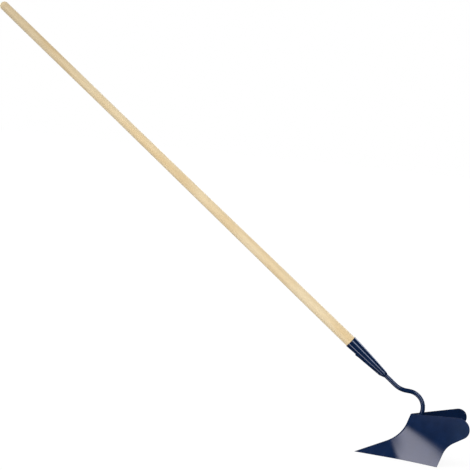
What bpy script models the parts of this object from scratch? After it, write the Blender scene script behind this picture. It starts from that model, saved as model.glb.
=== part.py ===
"""Hand ridging plough: a pressed steel V blade on a bent neck bar, with a long ash handle.

Frame: the point of the blade is the origin, on the ground line. +X runs backwards along the furrow,
+Z is up, and the tool is symmetric about the plane Y = 0. Lengths are metres, angles are degrees.
The blade stands on its lower edges, the neck rises out of its fold, and the handle leans forward.
"""

import math

import bmesh
import bpy
from mathutils import Matrix, Vector

# Room that is left between two pieces that touch
CLEARANCE = 0.0003

# Blade: one steel sheet, folded along a curved ridge
SHEET = 0.0025
NOSE_RISE = 25.8
NOSE_LENGTH = 0.0999
RIDGE_RADIUS = 0.0996
BREAST_RISE = 72.4
WING_SPLAY = 31.5
POINT_FOLD_RADIUS = 0.0028
BREAST_FOLD_RADIUS = 0.0075
BREAST_HEIGHT = 0.1271
TOP_EDGE_RISE = 7.4
SOLE_LENGTH = 0.2332
TRAILING_RISE = 71.3
NOTCH_RISE = 35.4
NOTCH_RADIUS = 0.0715
LOBE_RADIUS = 0.0285
BLADE_LENGTH = 0.3113

# Neck: one round bar
BAR_RADIUS = 0.00635
BAR_CHAMFER = 0.001
BEND_RADIUS = 0.0451
HANDLE_BEND_RADIUS = 0.0606
FOOT_RISE = 56.0
FOOT_TAIL = 0.014
FOOT_LENGTH = 0.0588
STEM_LENGTH = 0.001
CROWN_RISE = 4.0
CROWN_LENGTH = 0.0094
LEAD_LENGTH = 0.0458

# Socket: sheet steel rolled to a cone and lapped on its underside
SOCKET_SHEET = 0.0016
SOCKET_LENGTH = 0.130
SOCKET_MOUTH_RADIUS = 0.01785
SOCKET_BULGE = 0.00075
SOCKET_END_ROOM = 0.00105
SEAM_ANGLE = -20.0
SEAM_GAP = 0.002
LAP_WIDTH = 0.009
LAP_START = 0.0355
LAP_TAIL = 0.004
LAP_CORNER = 0.004
LAP_END_CORNER = 0.009
LAP_RAMP = 0.008
LAP_CORNER_SPRING = 0.0009
LAP_CORNER_REACH = 0.014
LAP_TAIL_SPRING = 0.0005
LAP_TAIL_REACH = 0.045
LAP_SWEEP = 65.0
LAP_LAND = 10.0

# Handle: one turned ash pole
HANDLE_RISE = 38.0
HANDLE_LENGTH = 1.500
SEAT_DEPTH = 0.110
SEAT_GAP = 0.004
GRIP_RADIUS = 0.0131
GRIP_END_RADIUS = 0.0127
GRIP_END_LENGTH = 0.090
GRIP_LENGTH = 0.480
HANDLE_FOOT_RADIUS = 0.01675
END_ROUNDING = 0.0122
SEAT_CHAMFER = 0.001

# Fixing screw: a round-headed wood screw through the far side of the socket
SCREW_DEPTH = 0.022
SCREW_RADIUS = 0.002
SCREW_HEAD_RADIUS = 0.0042
SCREW_HEAD_HEIGHT = 0.0026
SCREW_CROWN = 12.0
SCREW_LENGTH = 0.020
SCREW_POINT = 0.005
SCREW_TIP_RADIUS = 0.0005

# Welds
NECK_WELD_LENGTH = 0.008
NECK_WELD_TOE = 0.0004
NECK_WELD_BULGE = 0.0003
FOOT_WELD_SPAN = 10.0
FOOT_WELD_LEG = 0.0065
FOOT_WELD_WRAP = 55.0
FOOT_WELD_ROOT = 26.5
FOOT_WELD_BULGE = 0.0008
FOOT_WELD_END_SHARE = 0.45

# Fineness of the round forms
ROUND_SIDES = 32
BAR_SIDES = 20
BEND_STEP = 4.0
RIDGE_STEP = 3.0
OUTLINE_STEP = 6.0
FOLD_STEPS = 5
SOCKET_COLUMNS = 24
LAP_COLUMNS = 12
LAP_ROWS = 8
SEAT_ROWS = 6
CORNER_STEPS = 4
WELD_STEPS = 4
TAPER_STEPS = 3
POLE_END_STEPS = 6

# Angle between two faces from which their edge shows as a sharp one
CREASE = 35.0
SOCKET_CREASE = 40.0
BAR_CREASE = 50.0

# Material that is modelled past the blade's edges, for the trimming outline to take away
TRIM_ALLOWANCE = 0.006
OUTLINE_LEAD = 0.050

# Sizes that follow from those above
SOCKET_BORE_END = BAR_RADIUS + CLEARANCE + SOCKET_END_ROOM
SOCKET_BORE_MOUTH = SOCKET_MOUTH_RADIUS - SOCKET_SHEET
LAP_END = SOCKET_LENGTH - LAP_TAIL
BAR_INSERT = SOCKET_LENGTH - SEAT_DEPTH - SEAT_GAP
CROWN_BEND = 90.0 - CROWN_RISE
FOOT_BEND = 90.0 - FOOT_RISE
HANDLE_BEND = HANDLE_RISE - CROWN_RISE
VISIBLE_LENGTH = HANDLE_LENGTH - SEAT_DEPTH


def clear_scene():
    for old in list(bpy.data.objects):
        bpy.data.objects.remove(old, do_unlink=True)


def sind(angle):
    return math.sin(math.radians(angle))


def cosd(angle):
    return math.cos(math.radians(angle))


def tand(angle):
    return math.tan(math.radians(angle))


def steps(first, last, count):
    """Evenly spaced values after first, up to and including last."""
    return [first + (last - first) * i / count for i in range(1, count + 1)]


def smooth(value, low, high):
    """0 below low, 1 above high, with a soft rise between them."""
    share = min(max((value - low) / (high - low), 0.0), 1.0)
    return share * share * (3.0 - 2.0 * share)


def side_point(x, z):
    return Vector((x, 0.0, z))


def make_material(name, colour, roughness, metallic):
    material = bpy.data.materials.new(name)
    material.use_nodes = True
    shader = material.node_tree.nodes["Principled BSDF"]
    shader.inputs["Base Color"].default_value = (*colour, 1.0)
    shader.inputs["Roughness"].default_value = roughness
    shader.inputs["Metallic"].default_value = metallic
    return material


def finish_object(name, bm, material, crease=CREASE):
    """Turn a closed bmesh into a named object with smooth round faces."""
    bmesh.ops.recalc_face_normals(bm, faces=bm.faces)
    mesh = bpy.data.meshes.new(name)
    bm.to_mesh(mesh)
    bm.free()
    mesh.shade_smooth()
    mesh.set_sharp_from_angle(angle=math.radians(crease))
    if material:
        mesh.materials.append(material)
    obj = bpy.data.objects.new(name, mesh)
    bpy.context.collection.objects.link(obj)
    return obj


def loft_loops(bm, loops):
    """Join loops of equal count into a tube and close both its ends."""
    rings = [[bm.verts.new(point) for point in loop] for loop in loops]
    count = len(rings[0])
    for low, high in zip(rings, rings[1:]):
        for i in range(count):
            j = (i + 1) % count
            bm.faces.new((low[i], low[j], high[j], high[i]))
    bm.faces.new(rings[0])
    bm.faces.new(rings[-1])


def loft_sheet(bm, sections):
    """Join sections of a folded or rolled sheet, each a list of outer and a list of inner points."""
    rows = [([bm.verts.new(p) for p in outer], [bm.verts.new(p) for p in inner]) for outer, inner in sections]
    for (outer, inner), (next_outer, next_inner) in zip(rows, rows[1:]):
        for i in range(len(outer) - 1):
            bm.faces.new((outer[i], outer[i + 1], next_outer[i + 1], next_outer[i]))
            bm.faces.new((inner[i], inner[i + 1], next_inner[i + 1], next_inner[i]))
        for i in (0, -1):
            bm.faces.new((outer[i], inner[i], next_inner[i], next_outer[i]))
    for outer, inner in (rows[0], rows[-1]):
        for i in range(len(outer) - 1):
            bm.faces.new((outer[i], outer[i + 1], inner[i + 1], inner[i]))


def lathe(bm, profile, sides):
    """Turn a profile of (radius, height) about the Z axis and close it with flat or pointed ends."""
    loops = []
    for radius, height in profile:
        ring = []
        for i in range(sides):
            turn = 2.0 * math.pi * i / sides
            ring.append(Vector((radius * math.cos(turn), radius * math.sin(turn), height)))
        loops.append(ring)
    loft_loops(bm, loops)


def add_boolean(obj, cutter, operation):
    cutter.hide_render = True
    cutter.display_type = "WIRE"
    modifier = obj.modifiers.new(cutter.name, "BOOLEAN")
    modifier.operation = operation
    modifier.solver = "EXACT"
    modifier.object = cutter


# The blade's ridge, seen from the side

def nose_end():
    return side_point(NOSE_LENGTH * cosd(NOSE_RISE), NOSE_LENGTH * sind(NOSE_RISE))


def ridge_centre():
    """Centre of the arc that joins the nose to the breast."""
    return nose_end() + side_point(-RIDGE_RADIUS * sind(NOSE_RISE), RIDGE_RADIUS * cosd(NOSE_RISE))


def inward(angle):
    """Direction square to the ridge, into the blade, where the ridge rises at this angle."""
    return side_point(sind(angle), -cosd(angle))


def ridge_point(angle):
    return ridge_centre() + RIDGE_RADIUS * inward(angle)


def breast_top():
    """Top of the ridge, on its last straight stretch."""
    start = ridge_point(BREAST_RISE)
    return side_point(start.x + (BREAST_HEIGHT - start.z) / tand(BREAST_RISE), BREAST_HEIGHT)


def fold_radius(angle):
    """Outer radius of the fold, which opens evenly round the arc of the ridge."""
    share = (angle - NOSE_RISE) / (BREAST_RISE - NOSE_RISE)
    return POINT_FOLD_RADIUS + (BREAST_FOLD_RADIUS - POINT_FOLD_RADIUS) * share


def wing_section(radius, reach, thickness_in):
    """Points (distance from the ridge, half width) of one side of the V, from its fold to its free end."""
    bend = radius - thickness_in
    points = []
    for i in range(FOLD_STEPS + 1):
        turn = 180.0 - (90.0 - WING_SPLAY) * i / FOLD_STEPS
        points.append((radius + bend * cosd(turn), bend * sind(turn)))
    last_distance, last_width = points[-1]
    points.append((reach, last_width + (reach - last_distance) * tand(WING_SPLAY)))
    return points


def blade_section(origin, angle, radius, reach):
    rows = []
    for thickness_in in (0.0, SHEET):
        half = wing_section(radius, reach, thickness_in)
        right = [origin + distance * inward(angle) + Vector((0.0, width, 0.0)) for distance, width in half]
        left = [Vector((p.x, -p.y, p.z)) for p in right[1:]]
        rows.append(list(reversed(left)) + right)
    return rows


def lobe_centre():
    """The lobe's arc touches the top edge and reaches the blade's full length."""
    top = breast_top()
    x = BLADE_LENGTH - LOBE_RADIUS
    edge_height = top.z + (x - top.x) * tand(TOP_EDGE_RISE)
    return side_point(x, edge_height - LOBE_RADIUS / cosd(TOP_EDGE_RISE))


def arc_points(centre, radius, first, last):
    count = max(2, round(abs(last - first) / OUTLINE_STEP))
    angles = [first] + steps(first, last, count)
    return [centre + radius * side_point(cosd(a), sind(a)) for a in angles]


def blade_outline():
    """Side outline that both wings are trimmed to, run round from the ground line at the front."""
    centre = lobe_centre()
    top = breast_top()
    heel = side_point(SOLE_LENGTH, 0.0)
    notch_way = side_point(cosd(NOTCH_RISE), sind(NOTCH_RISE))
    lobe_foot = centre + LOBE_RADIUS * side_point(sind(NOTCH_RISE), -cosd(NOTCH_RISE))
    # the trailing edge and the underside of the lobe meet at a corner, which an arc rounds off
    trailing_way = side_point(cosd(TRAILING_RISE), sind(TRAILING_RISE))
    turn = TRAILING_RISE - NOTCH_RISE
    gap = lobe_foot - heel
    run = (gap.x * notch_way.z - gap.z * notch_way.x) / sind(NOTCH_RISE - TRAILING_RISE)
    start = heel + (run - NOTCH_RADIUS * tand(turn / 2.0)) * trailing_way
    notch_centre = start + NOTCH_RADIUS * side_point(sind(TRAILING_RISE), -cosd(TRAILING_RISE))
    outline = [side_point(-OUTLINE_LEAD, 0.0), heel]
    outline += arc_points(notch_centre, NOTCH_RADIUS, 90.0 + TRAILING_RISE, 90.0 + NOTCH_RISE)
    outline += arc_points(centre, LOBE_RADIUS, NOTCH_RISE - 90.0, 90.0 + TOP_EDGE_RISE)
    outline.append(side_point(top.x - OUTLINE_LEAD, top.z - OUTLINE_LEAD * tand(TOP_EDGE_RISE)))
    return outline


def make_blade(material):
    """Loft the folded sheet past its edges, then trim both wings to the side outline."""
    reach = BLADE_LENGTH
    along_nose = side_point(cosd(NOSE_RISE), sind(NOSE_RISE))
    along_breast = side_point(cosd(BREAST_RISE), sind(BREAST_RISE))
    sections = [blade_section(-TRIM_ALLOWANCE * along_nose, NOSE_RISE, POINT_FOLD_RADIUS, reach),
                blade_section(nose_end(), NOSE_RISE, POINT_FOLD_RADIUS, reach)]
    for angle in steps(NOSE_RISE, BREAST_RISE, round((BREAST_RISE - NOSE_RISE) / RIDGE_STEP)):
        sections.append(blade_section(ridge_point(angle), angle, fold_radius(angle), reach))
    past_top = ridge_point(BREAST_RISE) + reach * along_breast
    sections.append(blade_section(past_top, BREAST_RISE, BREAST_FOLD_RADIUS, reach))
    bm = bmesh.new()
    loft_sheet(bm, sections)
    blade = finish_object("blade", bm, material)

    outline = blade_outline()
    bm = bmesh.new()
    across = Vector((0.0, BLADE_LENGTH, 0.0))
    loft_loops(bm, [[p - across for p in outline], [p + across for p in outline]])
    add_boolean(blade, finish_object("blade_outline", bm, None), "INTERSECT")
    return blade


# The neck bar, drawn from its foot in the fold up to the socket

def foot_distance():
    """Distance of the bar's axis from the ridge where it lies in the V between the wings."""
    radius = fold_radius(FOOT_RISE)
    apex = radius - (radius - SHEET) / sind(WING_SPLAY)
    return apex + (BAR_RADIUS + CLEARANCE) / sind(WING_SPLAY)


def foot_contact():
    """Point of the bar's axis where it runs alongside the fold."""
    return ridge_centre() + (RIDGE_RADIUS + foot_distance()) * inward(FOOT_RISE)


def bend_bar(start, heading, moves):
    """Follow moves of (length, bend angle, bend radius), and return the stations (point, heading)."""
    stations = [(start, heading)]
    point = start
    for length, bend, radius in moves:
        point = point + length * side_point(cosd(heading), sind(heading))
        stations.append((point, heading))
        hand = math.copysign(1.0, bend)
        centre = point + hand * radius * side_point(-sind(heading), cosd(heading))
        for turned in steps(0.0, bend, round(abs(bend) / BEND_STEP)):
            now = heading + turned
            point = centre + hand * radius * side_point(sind(now), -cosd(now))
            stations.append((point, now))
        heading += bend
    stations.append((point + LEAD_LENGTH * side_point(cosd(heading), sind(heading)), heading))
    return stations


def neck_stations():
    along = side_point(cosd(FOOT_RISE), sind(FOOT_RISE))
    moves = ((FOOT_TAIL + FOOT_LENGTH, FOOT_BEND, BEND_RADIUS), (STEM_LENGTH, CROWN_BEND, BEND_RADIUS),
             (CROWN_LENGTH, -HANDLE_BEND, HANDLE_BEND_RADIUS))
    return bend_bar(foot_contact() - FOOT_TAIL * along, FOOT_RISE, moves)


def bar_ring(point, heading, radius):
    across = side_point(-sind(heading), cosd(heading))
    ring = []
    for i in range(BAR_SIDES):
        turn = 2.0 * math.pi * i / BAR_SIDES
        ring.append(point + radius * (math.cos(turn) * across + Vector((0.0, math.sin(turn), 0.0))))
    return ring


def make_neck(material):
    stations = neck_stations()
    end, heading = stations[-1]
    way = side_point(cosd(heading), sind(heading))
    stations[-1] = (end + (BAR_INSERT - BAR_CHAMFER) * way, heading)
    loops = [bar_ring(point, angle, BAR_RADIUS) for point, angle in stations]
    loops.append(bar_ring(end + BAR_INSERT * way, heading, BAR_RADIUS - BAR_CHAMFER))
    start, angle = stations[0]
    back = side_point(cosd(angle), sind(angle))
    loops.insert(0, bar_ring(start - BAR_CHAMFER * back, angle, BAR_RADIUS - BAR_CHAMFER))
    bm = bmesh.new()
    loft_loops(bm, loops)
    return finish_object("neck", bm, material, BAR_CREASE)


def make_head_axis():
    """Empty at the centre of the socket's mouth: its +Z runs up the handle, its -X is the underside."""
    end, _ = neck_stations()[-1]
    mouth = end + SOCKET_LENGTH * side_point(-cosd(HANDLE_RISE), sind(HANDLE_RISE))
    axis = bpy.data.objects.new("handle_axis", None)
    axis.location = mouth
    axis.rotation_euler = (0.0, math.radians(HANDLE_RISE - 90.0), 0.0)
    bpy.context.collection.objects.link(axis)
    return axis


# The socket, with depth measured down from its mouth

def bore_radius(depth):
    """Radius of the bore: a cone that swells a little in the middle of its length."""
    share = depth / SOCKET_LENGTH
    swell = SOCKET_BULGE * sind(180.0 * share)
    return SOCKET_BORE_MOUTH + (SOCKET_BORE_END - SOCKET_BORE_MOUTH) * share + swell


def corner_loss(distance, radius):
    """What a rounded corner takes off an edge, at a distance from where the edge ends."""
    share = 1.0 - min(distance / radius, 1.0)
    return radius * (1.0 - math.sqrt(1.0 - share * share))


def lap_reach(depth):
    """How far the free edge runs past the seam, along the wall: a tab with rounded corners."""
    if depth < LAP_START or depth > LAP_END:
        return -SEAM_GAP
    lost = corner_loss(depth - LAP_START, LAP_CORNER) + corner_loss(LAP_END - depth, LAP_END_CORNER)
    return LAP_WIDTH - lost


def lap_lift(depth):
    """How far the free edge stands off the cone, to pass over the edge below it."""
    raised = smooth(depth, LAP_START - LAP_RAMP, LAP_START)
    lowered = smooth(depth, LAP_END, SOCKET_LENGTH)
    spring = LAP_CORNER_SPRING * (1.0 - smooth(depth, LAP_START, LAP_START + LAP_CORNER_REACH))
    spring += LAP_TAIL_SPRING * smooth(depth, LAP_END - LAP_TAIL_REACH, LAP_END)
    return (SOCKET_SHEET + CLEARANCE + spring) * (raised - lowered)


def socket_section(depth):
    radius = bore_radius(depth)
    full = SEAM_ANGLE + 360.0
    rise_start = full - LAP_SWEEP
    last = full + math.degrees(lap_reach(depth) / (radius + SOCKET_SHEET))
    angles = [SEAM_ANGLE] + steps(SEAM_ANGLE, rise_start, SOCKET_COLUMNS)
    angles += steps(rise_start, last, LAP_COLUMNS)
    rows = []
    for wall in (SOCKET_SHEET, 0.0):
        row = []
        for angle in angles:
            reach = radius + wall + lap_lift(depth) * smooth(angle, rise_start, full - LAP_LAND)
            row.append(Vector((-reach * cosd(angle), -reach * sind(angle), -depth)))
        rows.append(row)
    return rows


def socket_depths():
    turns = steps(0.0, 90.0, CORNER_STEPS)
    before = LAP_START - 0.5 * CLEARANCE
    after = LAP_END + 0.5 * CLEARANCE
    depths = [0.0, LAP_START - LAP_RAMP] + steps(LAP_START - LAP_RAMP, before, CORNER_STEPS) + [LAP_START]
    depths += [LAP_START + LAP_CORNER * (1.0 - cosd(turn)) for turn in turns]
    depths += steps(LAP_START + LAP_CORNER, LAP_END - LAP_END_CORNER, LAP_ROWS)
    depths += [LAP_END - LAP_END_CORNER * (1.0 - sind(turn)) for turn in turns]
    return depths + [after] + steps(after, SOCKET_LENGTH, CORNER_STEPS)


def make_socket(material, axis):
    bm = bmesh.new()
    loft_sheet(bm, [socket_section(depth) for depth in socket_depths()])
    socket = finish_object("socket", bm, material, SOCKET_CREASE)
    socket.parent = axis
    return socket


def make_socket_weld(material, axis):
    """Fillet weld that runs round the bar and closes the narrow end of the socket."""
    top = -SOCKET_LENGTH - CLEARANCE
    bore = BAR_RADIUS + CLEARANCE
    rim = SOCKET_BORE_END + SOCKET_SHEET
    profile = [(bore, top - NECK_WELD_LENGTH), (bore, top)]
    for share in [0.0] + steps(0.0, 1.0, WELD_STEPS):
        face = rim + (bore + NECK_WELD_TOE - rim) * share + NECK_WELD_BULGE * sind(180.0 * share)
        profile.append((face, top - NECK_WELD_LENGTH * share))
    bm = bmesh.new()
    count = len(profile)
    rings = []
    for i in range(ROUND_SIDES):
        turn = 2.0 * math.pi * i / ROUND_SIDES
        rings.append([bm.verts.new((r * math.cos(turn), r * math.sin(turn), z)) for r, z in profile])
    for i in range(ROUND_SIDES):
        near, far = rings[i], rings[(i + 1) % ROUND_SIDES]
        for j in range(count):
            k = (j + 1) % count
            bm.faces.new((near[j], near[k], far[k], far[j]))
    weld = finish_object("socket_weld", bm, material)
    weld.parent = axis
    return weld


def foot_weld_section(offset, side):
    """Section of one fillet, in the corner between the bar and one wing, at an angle from the contact."""
    bore = BAR_RADIUS + CLEARANCE
    angle = FOOT_RISE + offset
    radius = fold_radius(angle)
    apex = radius - (radius - SHEET) / sind(WING_SPLAY)
    bar = (RIDGE_RADIUS + foot_distance()) / cosd(offset) - RIDGE_RADIUS
    middle = math.sqrt(max(0.0, 1.0 - (offset / FOOT_WELD_SPAN) ** 2))
    fullness = FOOT_WELD_END_SHARE + (1.0 - FOOT_WELD_END_SHARE) * middle
    # the bar touches the wing at contact_turn, and the weld starts a little way out from there
    contact_turn = 90.0 + WING_SPLAY
    first_turn = contact_turn - FOOT_WELD_ROOT
    last_turn = first_turn - FOOT_WELD_WRAP * fullness
    bar_side = [(bar + bore * cosd(turn), bore * sind(turn))
                for turn in [first_turn] + steps(first_turn, last_turn, WELD_STEPS)]
    start = (bar - apex) * cosd(WING_SPLAY) + bore * sind(FOOT_WELD_ROOT)
    wing_side = [(apex + length * cosd(WING_SPLAY) + CLEARANCE * sind(WING_SPLAY),
                  length * sind(WING_SPLAY) - CLEARANCE * cosd(WING_SPLAY))
                 for length in (start + FOOT_WELD_LEG * fullness, start)]
    low, high = Vector(bar_side[-1]), Vector(wing_side[0])
    outward = Vector((high.y - low.y, low.x - high.x)).normalized()
    crest = 0.5 * (low + high) + FOOT_WELD_BULGE * outward
    return [ridge_centre() + (RIDGE_RADIUS + distance) * inward(angle) + Vector((0.0, side * width, 0.0))
            for distance, width in bar_side + [crest] + wing_side]


def make_foot_weld(name, side, material):
    """One of the two fillet welds that hold the bar's foot between the wings."""
    offsets = [-FOOT_WELD_SPAN] + steps(-FOOT_WELD_SPAN, FOOT_WELD_SPAN, 2 * WELD_STEPS)
    bm = bmesh.new()
    loft_loops(bm, [foot_weld_section(offset, side) for offset in offsets])
    return finish_object(name, bm, material, BAR_CREASE)


# The handle and its screw

def make_handle(material, axis):
    """Turned pole: parallel grip, a long even swell to the socket, a shoulder and a tapered seat."""
    seat_start = SEAT_DEPTH - SEAT_CHAMFER
    depths = [seat_start] + steps(seat_start, 0.0, SEAT_ROWS)
    seat = [(bore_radius(depth) - CLEARANCE, -depth) for depth in depths]
    profile = [(seat[0][0] - SEAT_CHAMFER, -SEAT_DEPTH)] + seat
    profile += [(seat[-1][0], CLEARANCE), (HANDLE_FOOT_RADIUS, CLEARANCE)]
    top = VISIBLE_LENGTH
    profile += [(HANDLE_FOOT_RADIUS + (GRIP_RADIUS - HANDLE_FOOT_RADIUS) * share,
                 CLEARANCE + (top - GRIP_LENGTH - CLEARANCE) * share)
                for share in steps(0.0, 1.0, TAPER_STEPS)]
    profile.append((GRIP_RADIUS, top - GRIP_END_LENGTH))
    flat = GRIP_END_RADIUS - END_ROUNDING
    profile += [(flat + END_ROUNDING * cosd(turn), top - END_ROUNDING + END_ROUNDING * sind(turn))
                for turn in [0.0] + steps(0.0, 90.0, POLE_END_STEPS)]
    bm = bmesh.new()
    lathe(bm, profile, ROUND_SIDES)
    handle = finish_object("handle", bm, material)
    handle.parent = axis
    return handle


def screw_profile(gap):
    """Round head, parallel shank and point, with the seat of the head at height 0."""
    head = [(SCREW_HEAD_RADIUS * sind(turn), SCREW_HEAD_HEIGHT * cosd(turn))
            for turn in [SCREW_CROWN] + steps(SCREW_CROWN, 90.0, CORNER_STEPS)]
    shank = [(SCREW_RADIUS + gap, 0.0), (SCREW_RADIUS + gap, -SCREW_LENGTH + SCREW_POINT),
             (SCREW_TIP_RADIUS + gap, -SCREW_LENGTH - gap)]
    return head, shank


def make_screw(material, axis, handle, socket):
    seat = bore_radius(SCREW_DEPTH - SCREW_HEAD_RADIUS) + SOCKET_SHEET + CLEARANCE
    place = Matrix.Translation((0.0, seat, -SCREW_DEPTH)) @ Matrix.Rotation(math.radians(-90.0), 4, "X")
    head, shank = screw_profile(0.0)
    bm = bmesh.new()
    lathe(bm, head + shank, ROUND_SIDES // 2)
    bm.transform(place)
    screw = finish_object("handle_screw", bm, material)
    screw.parent = axis
    _, hole = screw_profile(CLEARANCE)
    hole[0] = (hole[0][0], SCREW_HEAD_HEIGHT)
    bm = bmesh.new()
    lathe(bm, hole, ROUND_SIDES // 2)
    bm.transform(place)
    drill = finish_object("screw_hole", bm, None)
    drill.parent = axis
    add_boolean(handle, drill, "DIFFERENCE")
    add_boolean(socket, drill, "DIFFERENCE")
    return screw


def main():
    clear_scene()
    ash = make_material("ash_wood", (0.76, 0.60, 0.37), 0.55, 0.0)
    paint = make_material("blue_painted_steel", (0.010, 0.021, 0.080), 0.28, 0.0)
    zinc = make_material("zinc_plated_steel", (0.55, 0.55, 0.53), 0.35, 1.0)
    make_blade(paint)
    make_neck(paint)
    make_foot_weld("foot_weld_near", -1.0, paint)
    make_foot_weld("foot_weld_far", 1.0, paint)
    axis = make_head_axis()
    socket = make_socket(paint, axis)
    make_socket_weld(paint, axis)
    handle = make_handle(ash, axis)
    make_screw(zinc, axis, handle, socket)
    bpy.context.view_layer.update()


main()
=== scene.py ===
import math
import bpy
from mathutils import Matrix, Vector


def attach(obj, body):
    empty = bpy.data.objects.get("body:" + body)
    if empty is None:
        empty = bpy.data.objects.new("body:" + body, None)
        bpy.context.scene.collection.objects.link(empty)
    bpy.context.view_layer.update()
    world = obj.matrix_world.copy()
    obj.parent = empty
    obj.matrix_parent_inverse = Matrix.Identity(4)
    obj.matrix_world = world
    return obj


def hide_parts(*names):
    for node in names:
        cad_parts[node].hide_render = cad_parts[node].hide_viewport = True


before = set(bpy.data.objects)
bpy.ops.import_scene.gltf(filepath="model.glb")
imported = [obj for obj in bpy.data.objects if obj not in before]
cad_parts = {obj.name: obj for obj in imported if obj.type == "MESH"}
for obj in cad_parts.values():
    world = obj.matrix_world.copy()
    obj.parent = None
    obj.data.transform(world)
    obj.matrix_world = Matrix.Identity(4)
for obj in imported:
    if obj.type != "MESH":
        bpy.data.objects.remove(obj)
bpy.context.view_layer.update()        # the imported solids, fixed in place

# a hand ridging plough that stands on its blade: the origin is the blade's point, with +X to its rear, -Y to
# the near side and +Z up. Pieces and finishes are sized in millimetres, camera and lamps placed in metres
mm = 0.001
clearance = 0.3            # between two pieces that touch, as in the solids
samePoint = 0.005 * mm     # points that are closer than this are the same
sameLine = 0.01 * mm       # and a point that is closer to a line than this lies on it
cutTolerance = 0.001 * mm
sharpAngle = 40            # an edge is sharp where its faces turn by more degrees than this


# small helpers, used by every piece

def way(degrees):    # unit step in the side view, 0 to the rear and 90 up
    return Vector((math.cos(math.radians(degrees)), 0, math.sin(math.radians(degrees))))


def smooth(value, low, high):    # 0 below low, 1 above high, with a soft rise between them
    share = min(max((value - low) / (high - low), 0), 1)
    return share * share * (3 - 2 * share)


def standAt(target, azimuth, elevation, roll=0, offset=(0, 0, 0)):
    # the place of a camera or lamp that faces its target, with its offset in its own right, up and back
    swung = Matrix.Rotation(math.radians(azimuth), 4, "Z")
    raised = Matrix.Rotation(math.radians(90 - elevation), 4, "X")
    rolled = Matrix.Rotation(math.radians(roll), 4, "Z")
    return Matrix.Translation(target) @ swung @ raised @ rolled @ Matrix.Translation(offset)


def toLinear(hexColour):    # sRGB hex to the linear values that the shader wants
    channels = [int(hexColour[i:i + 2], 16) / 255 for i in (1, 3, 5)]
    return [c / 12.92 if c <= 0.04045 else ((c + 0.055) / 1.055) ** 2.4 for c in channels] + [1.0]


def newMaterial(name):
    material = bpy.data.materials.new(name)
    material.use_nodes = True
    material.node_tree.nodes.clear()
    print("mixing", name)
    return material, material.node_tree


def addNode(tree, kind, values=None, links=None, **settings):
    node = tree.nodes.new(kind)
    for name, value in settings.items():
        setattr(node, name, value)
    for name, value in (values or {}).items():
        node.inputs[name].default_value = value
    for name, (source, output) in (links or {}).items():
        tree.links.new(source.outputs[output], node.inputs[name])
    return node


# modelling by hand, a step at a time

def startPiece(name):    # names the new primitive and opens it for shaping, selected all over
    piece = bpy.context.object
    piece.name = piece.data.name = name
    bpy.ops.object.transform_apply(location=True, rotation=True, scale=True)
    bpy.ops.object.mode_set(mode="EDIT")
    bpy.ops.mesh.select_mode(type="VERT")
    bpy.ops.mesh.select_all(action="SELECT")
    return piece


def followPath(here, path):
    # drags what is selected along ("line", point) and ("arc", centre, degrees, steps) of the side view
    for step in path:
        if step[0] == "line":
            bpy.ops.mesh.extrude_region_move(TRANSFORM_OT_translate={"value": Vector(step[1]) - here})
            here = Vector(step[1])
        else:
            centre, degrees, steps = Vector(step[1]), step[2], step[3]
            bpy.ops.mesh.spin(steps=steps, angle=math.radians(degrees), center=centre, axis=(0, 1, 0))
            here = centre + Matrix.Rotation(math.radians(-degrees), 3, "Y") @ (here - centre)
    bpy.ops.mesh.select_all(action="SELECT")
    bpy.ops.mesh.remove_doubles(threshold=samePoint)


def sideLine(name, start, path):    # a line drawn by hand in the side view, from a single point
    bpy.ops.object.select_all(action="DESELECT")
    bpy.ops.mesh.primitive_plane_add(size=mm, location=start)
    piece = startPiece(name)
    bpy.ops.mesh.merge(type="CENTER")
    followPath(Vector(start), path)
    return piece


def turnRound(name, start, path, sides):    # a side line turned all the way round the upright axis
    piece = sideLine(name, start, path)
    bpy.ops.mesh.spin(steps=sides, angle=math.radians(360), center=(0, 0, 0), axis=(0, 0, 1))
    tidyMesh(piece)
    return piece


def cutAlong(point, normal, **settings):    # cuts the mesh in edit mode along a plane
    bpy.ops.mesh.select_all(action="SELECT")
    bpy.ops.mesh.bisect(plane_co=point, plane_no=normal, threshold=cutTolerance, **settings)


def deleteFaces(piece, test):
    bpy.ops.object.mode_set(mode="EDIT")
    bpy.ops.mesh.select_mode(type="FACE")
    bpy.ops.mesh.select_all(action="DESELECT")
    bpy.ops.object.mode_set(mode="OBJECT")
    for face in piece.data.polygons:
        face.select = test(face)
    bpy.ops.object.mode_set(mode="EDIT")
    bpy.ops.mesh.delete(type="FACE")
    bpy.ops.object.mode_set(mode="OBJECT")


def useModifier(piece, kind, **settings):
    bpy.ops.object.mode_set(mode="OBJECT")
    bpy.context.view_layer.objects.active = piece
    modifier = piece.modifiers.new(kind.title(), kind)
    for name, value in settings.items():
        setattr(modifier, name, value)
    bpy.ops.object.modifier_apply(modifier=modifier.name)


def roundRims(piece, radius, segments=3, angle=sharpAngle):    # rounds every edge sharper than the angle
    useModifier(piece, "BEVEL", width=radius, segments=segments, limit_method="ANGLE",
                angle_limit=math.radians(angle), use_clamp_overlap=False)


def cutAway(piece, cutter):
    bpy.ops.object.mode_set(mode="OBJECT")
    useModifier(piece, "BOOLEAN", operation="DIFFERENCE", solver="EXACT", object=cutter)
    bpy.data.objects.remove(cutter, do_unlink=True)
    chooseOnly(piece)


def chooseOnly(piece):
    bpy.ops.object.select_all(action="DESELECT")
    piece.select_set(True)
    bpy.context.view_layer.objects.active = piece


def tidyMesh(piece):    # close the doubles and turn every face outwards
    bpy.ops.object.mode_set(mode="EDIT")
    bpy.ops.mesh.select_all(action="SELECT")
    bpy.ops.mesh.remove_doubles(threshold=samePoint)
    bpy.ops.mesh.normals_make_consistent(inside=False)
    bpy.ops.object.mode_set(mode="OBJECT")


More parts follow.
